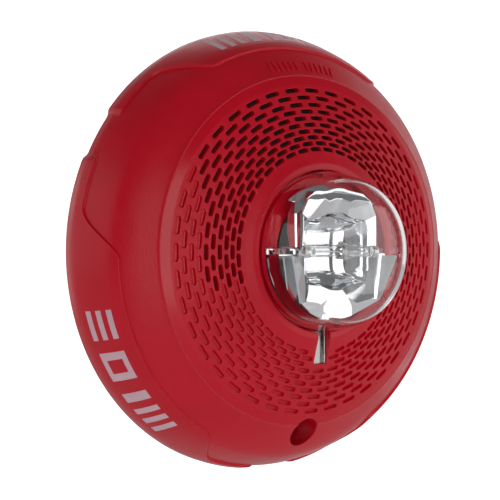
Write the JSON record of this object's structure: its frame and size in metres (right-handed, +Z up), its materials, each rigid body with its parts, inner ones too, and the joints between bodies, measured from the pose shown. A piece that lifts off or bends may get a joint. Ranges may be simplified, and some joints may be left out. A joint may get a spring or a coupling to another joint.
{
  "type": "horn strobe",
  "caption": "Round domed wall sounder with a slotted face, a clear domed lens over a flash-tube reflector, and a wiring plate that the head hooks onto.",
  "frame": {"origin": "centre of the mounting plate's flat back face, which lies on the wall", "axes": "+Z is up on the wall, -Y is the way the lens faces out from the wall, +X is to the right of a viewer who looks at the lens"},
  "size_m": [0.1722, 0.065, 0.1711],
  "materials": {
    "red_housing": "fine-textured moulded plastic, satin",
    "clear_lens": "clear polycarbonate, polished",
    "metallised_reflector": "vacuum-metallised plastic, bright",
    "clear_carrier": "clear polycarbonate, polished",
    "tube_glass": "flash-tube glass, polished",
    "tinned_wire": "tinned wire, semi-bright",
    "board_laminate": "solder mask over laminate, satin",
    "capacitor_sleeve": "shrink sleeve, glossy",
    "ferrite": "ferrite and copper winding, matt",
    "coil_winding": "varnished winding, satin",
    "chip_epoxy": "moulded epoxy, matt",
    "black_moulding": "moulded plastic, fine texture",
    "brass_disc": "thin brass, satin",
    "ceramic_disc": "silvered ceramic, matt",
    "gasket_foam": "closed-cell foam",
    "contact_metal": "plated copper alloy, semi-bright",
    "switch_moulding": "moulded plastic, satin",
    "white_moulding": "moulded plastic, satin",
    "plate_moulding": "moulded plastic, fine texture",
    "terminal_moulding": "moulded plastic, satin",
    "zinc_screw": "zinc-plated steel",
    "brass_insert": "turned brass",
    "washer_nylon": "nylon, satin"
  },
  "bodies": {
    "plate": {"mounting_plate": "plate_moulding", "threaded_insert": "brass_insert", "terminal_block": "terminal_moulding", "terminal_clamp_1": "contact_metal", "terminal_clamp_2": "contact_metal", "terminal_clamp_3": "contact_metal", "terminal_clamp_4": "contact_metal", "terminal_screw_1": "zinc_screw", "terminal_screw_2": "zinc_screw", "terminal_screw_3": "zinc_screw", "terminal_screw_4": "zinc_screw", "shorting_spring": "contact_metal"},
    "head": {"front_cover": "red_housing", "lens": "clear_lens", "reflector": "metallised_reflector", "lamp_carrier": "clear_carrier", "flash_tube": "tube_glass", "tube_electrode_left": "tinned_wire", "tube_electrode_right": "tinned_wire", "trigger_wire": "tinned_wire", "circuit_board": "board_laminate", "flash_capacitor": "capacitor_sleeve", "power_inductor": "ferrite", "trigger_coil": "coil_winding", "controller_chip": "chip_epoxy", "bridge_rectifier": "chip_epoxy", "sounder_driver_chip": "chip_epoxy", "contact_blade_1": "contact_metal", "contact_blade_2": "contact_metal", "contact_blade_3": "contact_metal", "contact_blade_4": "contact_metal", "horn_chamber": "black_moulding", "piezo_plate": "brass_disc", "piezo_ceramic": "ceramic_disc", "horn_gasket": "gasket_foam", "piezo_contact_left": "contact_metal", "piezo_contact_right": "contact_metal", "rear_housing": "black_moulding", "housing_screw_1": "zinc_screw", "housing_screw_2": "zinc_screw", "housing_screw_3": "zinc_screw", "housing_screw_4": "zinc_screw", "tone_switch_body": "switch_moulding", "level_switch_body": "switch_moulding", "level_scale": "white_moulding"},
    "level_selector": {"level_slider": "black_moulding"},
    "tone_selector": {"tone_knob": "white_moulding"},
    "screw_collar": {"retaining_washer": "washer_nylon"},
    "screw": {"mounting_screw": "zinc_screw"}
  },
  "joints": [
    {"name": "head_swing", "type": "hinge", "parent": "plate", "child": "head", "pos_m": [0, -0.0025, 0.0815], "axis": [-1, 0, 0], "range_deg": [0, 10]},
    {"name": "level_select", "type": "slide", "parent": "head", "child": "level_selector", "axis": [0, 0, -1], "range_m": [0, 0.009]},
    {"name": "tone_select", "type": "hinge", "parent": "head", "child": "tone_selector", "pos_m": [0.034, -0.0136, -0.014], "axis": [0, 1, 0], "range_deg": [0, 315]},
    {"name": "screw_lift", "type": "slide", "parent": "head", "child": "screw_collar", "axis": [0, -1, 0], "range_m": [0, 0.00436]},
    {"name": "screw_turn", "type": "hinge", "parent": "screw_collar", "child": "screw", "pos_m": [0, -0.0115, -0.069], "axis": [0, -1, 0], "range_deg": [0, 1980]}
  ],
  "couplings": [
    {"joint": "screw_turn", "follows": "screw_lift", "rad_per_m": 7915.8}
  ]
}
